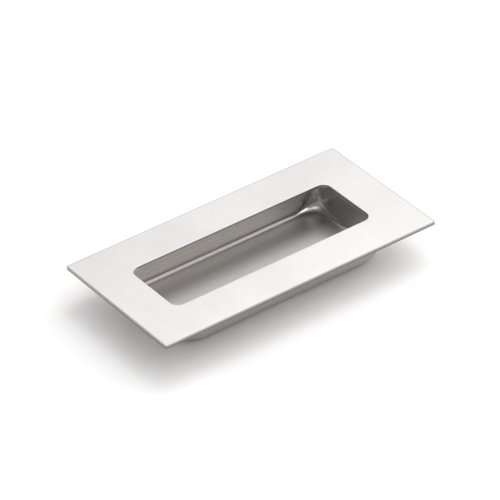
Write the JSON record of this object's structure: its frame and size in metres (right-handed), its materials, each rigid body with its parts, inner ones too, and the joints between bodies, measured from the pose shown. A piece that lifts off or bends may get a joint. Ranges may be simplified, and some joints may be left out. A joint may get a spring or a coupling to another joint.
{
  "type": "recessed pull handle",
  "caption": "Rectangular stainless steel flush pull: a flat square-cornered face plate over a deep-drawn finger tray that reaches behind the window's long edges.",
  "frame": {"origin": "centre of the tray's flat base, the lowest face", "axes": "+X along the handle, +Y across it, +Z out of the furniture's face, the way the face plate looks"},
  "size_m": [0.12, 0.06, 0.0148],
  "materials": {
    "brushed_plate": "fine satin brushed along the length, softly broken edges",
    "drawn_tray": "matt drawn stainless, darker than the brushed plate, with a fine mottled grain"
  },
  "bodies": {
    "root": {"face_plate": "brushed_plate", "recess_tray": "drawn_tray"}
  },
  "joints": []
}
